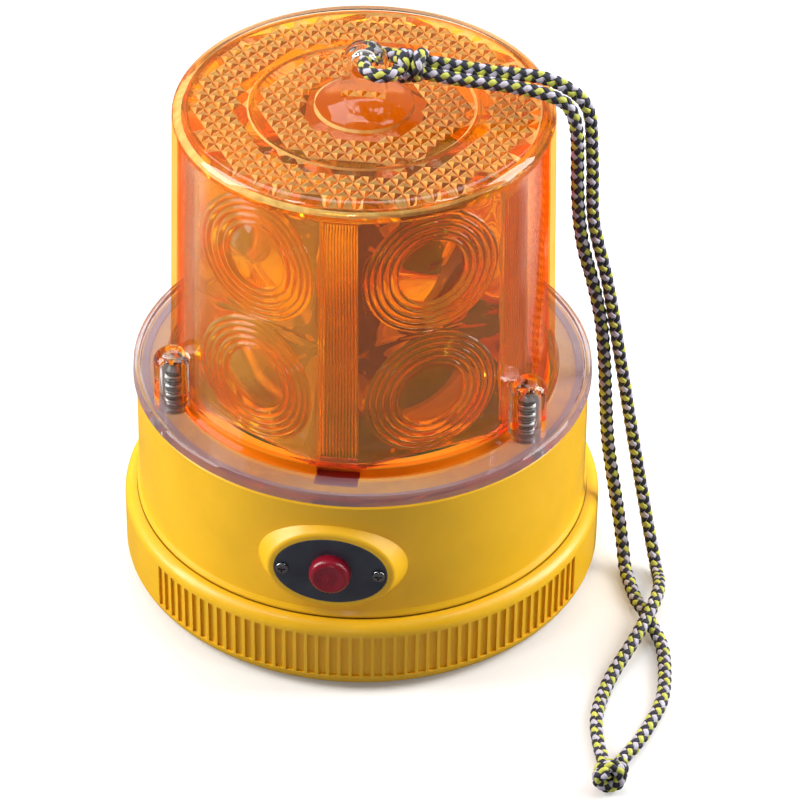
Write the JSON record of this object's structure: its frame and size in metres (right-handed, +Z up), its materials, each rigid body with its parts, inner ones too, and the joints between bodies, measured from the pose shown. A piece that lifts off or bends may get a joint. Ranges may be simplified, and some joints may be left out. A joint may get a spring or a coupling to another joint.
{
  "type": "portable warning beacon",
  "caption": "Portable battery warning beacon: clear screwed-on cover over an amber lens, push switch, twist-off ribbed cap with magnetic foot, and a braided carrying cord.",
  "frame": {"origin": "centre of the magnetic foot's resting face", "axes": "+Z up along the beacon's axis, -Y towards the push switch, +X to the right seen from the switch side"},
  "size_m": [0.1437, 0.1518, 0.1484],
  "materials": {
    "yellow_plastic": "satin",
    "clear_plastic": "polished",
    "amber_plastic": "polished",
    "window_plastic": "polished",
    "button_plastic": "satin",
    "plate_plastic": "satin",
    "screw_steel": "bright",
    "zinc_steel": "zinc plated",
    "spring_steel": "drawn",
    "contact_brass": "nickel plated",
    "black_plastic": "matte",
    "black_rubber": "matte",
    "silicone_rubber": "matte",
    "ferrite": "ground",
    "circuit_board": "solder mask",
    "led_white": "polished",
    "tower_plastic": "satin",
    "capacitor_sleeve": "sleeved",
    "inductor_core": "wound",
    "cell_jacket": "jacketed",
    "red_wire": "satin",
    "black_wire": "satin",
    "grey_wire": "satin",
    "braided_cord": "braided"
  },
  "bodies": {
    "housing": {"clear_cover": "clear_plastic", "amber_lens": "amber_plastic", "cover_gasket": "silicone_rubber", "cover_screws": "zinc_steel", "cover_washers": "zinc_steel", "housing": "yellow_plastic", "switch_plate": "plate_plastic", "switch_plate_screws": "screw_steel", "switch_body": "black_plastic", "switch_terminals": "contact_brass", "switch_seal": "black_rubber", "switch_spring": "spring_steel", "sensor_window": "window_plastic", "light_sensor": "black_plastic", "control_board": "circuit_board", "board_screws": "zinc_steel", "boost_inductor": "inductor_core", "storage_capacitor": "capacitor_sleeve", "controller_chip": "black_plastic", "led_tower": "tower_plastic", "tower_screws": "zinc_steel", "led_board_1": "circuit_board", "led_board_2": "circuit_board", "led_board_3": "circuit_board", "led_board_4": "circuit_board", "led_board_5": "circuit_board", "led_board_6": "circuit_board", "leds": "led_white", "battery_holder": "black_plastic", "holder_screws": "zinc_steel", "battery_cell_1": "cell_jacket", "battery_cell_2": "cell_jacket", "contact_spring_1": "spring_steel", "contact_spring_2": "spring_steel", "positive_terminal": "contact_brass", "negative_terminal": "contact_brass", "bridge_plate": "contact_brass", "battery_lead_red": "red_wire", "battery_lead_black": "black_wire", "switch_leads": "grey_wire"},
    "button": {"switch_button": "button_plastic"},
    "cap_seal": {"cap_gasket": "black_rubber"},
    "cap": {"battery_cap": "yellow_plastic", "magnet_cup": "zinc_steel", "ring_magnet": "ferrite", "magnet_boot": "black_rubber", "magnet_screw": "zinc_steel", "magnet_washer": "zinc_steel", "magnet_nut": "zinc_steel"},
    "cord": {"lanyard_cord": "braided_cord"}
  },
  "joints": [
    {"name": "button_press", "type": "slide", "parent": "housing", "child": "button", "axis": [0, 1, 0], "range_m": [0, 0.0015], "stiffness_N_per_m": 900, "springref_m": -0.002, "deforming": ["switch_spring"]},
    {"name": "cap_drop", "type": "slide", "parent": "housing", "child": "cap_seal", "axis": [0, 0, -1], "range_m": [0, 0.00601]},
    {"name": "cap_turn", "type": "hinge", "parent": "cap_seal", "child": "cap", "pos_m": [0, 0, 0.012], "axis": [0, 0, -1], "range_deg": [0, 540]},
    {"name": "cord_swing", "type": "hinge", "parent": "housing", "child": "cord", "pos_m": [0, 0, 0.1432], "axis": [0, 0, 1], "range_deg": [-10, 10]}
  ],
  "couplings": [
    {"joint": "cap_drop", "follows": "cap_turn", "m_per_rad": 0.00063662}
  ]
}
